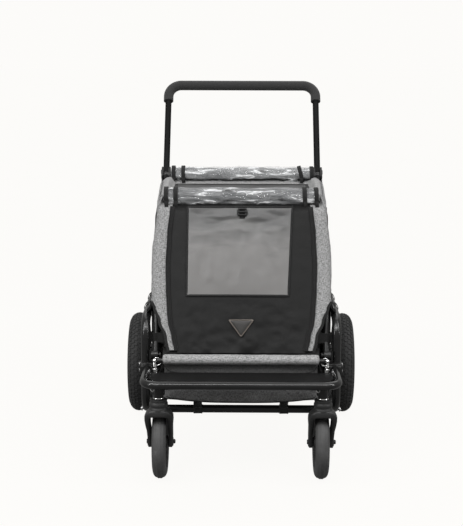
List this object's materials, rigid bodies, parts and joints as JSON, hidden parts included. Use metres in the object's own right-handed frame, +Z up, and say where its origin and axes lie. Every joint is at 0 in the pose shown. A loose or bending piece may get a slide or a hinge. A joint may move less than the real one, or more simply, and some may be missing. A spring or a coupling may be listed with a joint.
{
  "type": "child bicycle trailer",
  "caption": "Folding fabric-covered cabin on spoked wheels with swivelling front casters, a push handle, rolled rain cover, zipped front window and a front bumper.",
  "frame": {"origin": "on the ground, under the middle of the whole object's box", "axes": "+X to the right seen from the front, -Y towards the front casters, +Z up"},
  "size_m": [0.725, 1.0706, 1.0511],
  "materials": {
    "frame_black": "gloss black",
    "bracket_black": "moulded",
    "panel_black": "satin",
    "button_grey": "satin",
    "bolt_steel": "satin",
    "pin_chrome": "polished",
    "tyre_rubber": "matte",
    "grip_foam": "matte foam",
    "cover_grey": "melange weave",
    "cover_dark": "melange weave",
    "cover_black": "coated weave",
    "window_grey": "tinted vinyl",
    "badge_bronze": "satin",
    "cover_clear": "clear film over fabric",
    "strap_black": "webbing",
    "seat_black": "padded weave"
  },
  "bodies": {
    "root": {"side_loop_left": "frame_black", "side_loop_right": "frame_black", "front_cross_tube": "frame_black", "rear_cross_tube": "frame_black", "rear_axle_tube": "frame_black", "frame_bolts": "bolt_steel", "front_pivots": "bracket_black", "rear_pivots": "bracket_black", "bumper_clamps": "bracket_black", "bumper_tube": "frame_black", "bumper_panel": "panel_black", "caster_carrier": "frame_black", "foot_bar": "frame_black", "bolster": "cover_grey", "floor_tray": "cover_dark", "velcro_straps": "strap_black", "lower_side_left": "cover_grey", "lower_side_right": "cover_grey", "side_panel_left": "cover_grey", "side_panel_right": "cover_grey", "roof_panel": "cover_dark", "rear_panel": "cover_black", "seat_base": "seat_black", "seat_back": "seat_black", "harness": "strap_black", "towbar_receiver": "bracket_black", "flag_holder": "bracket_black", "stub_axle_left": "bolt_steel", "stub_axle_right": "bolt_steel", "brake_brackets": "bracket_black"},
    "front_hoop": {"front_hoop_tube": "frame_black", "front_roll": "cover_clear", "front_roll_loops": "strap_black", "door_panel": "cover_black", "window_panel": "window_grey", "badge": "badge_bronze"},
    "rear_hoop": {"rear_hoop_tube": "frame_black", "rear_roll": "cover_clear", "rear_roll_loops": "strap_black", "handle_hinges": "bracket_black"},
    "handle": {"handle_tube": "frame_black", "handle_grip": "grip_foam"},
    "wheel_left": {"tyre_left": "tyre_rubber", "rim_left": "panel_black", "hub_left": "bracket_black"},
    "hub_button_left": {"hub_button_left": "button_grey"},
    "quick_pin_left": {"quick_pin_left": "pin_chrome"},
    "caster_left": {"caster_fork_left": "bracket_black"},
    "caster_wheel_left": {"caster_wheel_left": "tyre_rubber"},
    "handle_button_left": {"handle_button_left": "button_grey"},
    "wheel_right": {"tyre_right": "tyre_rubber", "rim_right": "panel_black", "hub_right": "bracket_black"},
    "hub_button_right": {"hub_button_right": "button_grey"},
    "quick_pin_right": {"quick_pin_right": "pin_chrome"},
    "caster_right": {"caster_fork_right": "bracket_black"},
    "caster_wheel_right": {"caster_wheel_right": "tyre_rubber"},
    "handle_button_right": {"handle_button_right": "button_grey"},
    "brake": {"brake_pedal": "bracket_black"}
  },
  "joints": [
    {"name": "frame_fold", "type": "hinge", "parent": "root", "child": "rear_hoop", "pos_m": [0, 0.3205, 0.45], "axis": [1, 0, 0], "range_deg": [0, 90], "deforming": ["side_panel_left", "side_panel_right", "roof_panel", "rear_panel", "seat_back", "harness"]},
    {"name": "front_fold", "type": "hinge", "parent": "root", "child": "front_hoop", "pos_m": [0, -0.3295, 0.322], "axis": [1, 0, 0], "range_deg": [-64.8, 0]},
    {"name": "handle_fold", "type": "hinge", "parent": "rear_hoop", "child": "handle", "pos_m": [0, 0.3485, 0.762], "axis": [-1, 0, 0], "range_deg": [-55, 128]},
    {"name": "wheel_spin_left", "type": "hinge", "parent": "root", "child": "wheel_left", "pos_m": [-0.327, 0.2405, 0.1585], "axis": [1, 0, 0], "continuous": true},
    {"name": "hub_release_left", "type": "slide", "parent": "root", "child": "hub_button_left", "axis": [1, 0, 0], "range_m": [0, 0.0025], "stiffness_N_per_m": 400},
    {"name": "pin_pull_left", "type": "slide", "parent": "root", "child": "quick_pin_left", "axis": [0, 0, 1], "range_m": [0, 0.042]},
    {"name": "caster_swivel_left", "type": "hinge", "parent": "root", "child": "caster_left", "pos_m": [-0.218, -0.4745, 0.24], "axis": [0, 0, 1], "continuous": true},
    {"name": "caster_spin_left", "type": "hinge", "parent": "caster_left", "child": "caster_wheel_left", "pos_m": [-0.218, -0.4095, 0.1], "axis": [1, 0, 0], "continuous": true},
    {"name": "handle_release_left", "type": "slide", "parent": "rear_hoop", "child": "handle_button_left", "axis": [1, 0, 0], "range_m": [0, 0.0025], "stiffness_N_per_m": 400},
    {"name": "wheel_spin_right", "type": "hinge", "parent": "root", "child": "wheel_right", "pos_m": [0.327, 0.2405, 0.1585], "axis": [1, 0, 0], "continuous": true},
    {"name": "hub_release_right", "type": "slide", "parent": "root", "child": "hub_button_right", "axis": [-1, 0, 0], "range_m": [0, 0.0025], "stiffness_N_per_m": 400},
    {"name": "pin_pull_right", "type": "slide", "parent": "root", "child": "quick_pin_right", "axis": [0, 0, 1], "range_m": [0, 0.042]},
    {"name": "caster_swivel_right", "type": "hinge", "parent": "root", "child": "caster_right", "pos_m": [0.218, -0.4745, 0.24], "axis": [0, 0, 1], "continuous": true},
    {"name": "caster_spin_right", "type": "hinge", "parent": "caster_right", "child": "caster_wheel_right", "pos_m": [0.218, -0.4095, 0.1], "axis": [1, 0, 0], "continuous": true},
    {"name": "handle_release_right", "type": "slide", "parent": "rear_hoop", "child": "handle_button_right", "axis": [-1, 0, 0], "range_m": [0, 0.0025], "stiffness_N_per_m": 400},
    {"name": "brake_press", "type": "hinge", "parent": "root", "child": "brake", "pos_m": [0, 0.3105, 0.19], "axis": [-1, 0, 0], "range_deg": [0, 18]}
  ],
  "couplings": [
    {"joint": "front_fold", "follows": "frame_fold", "ratio": -0.72}
  ]
}
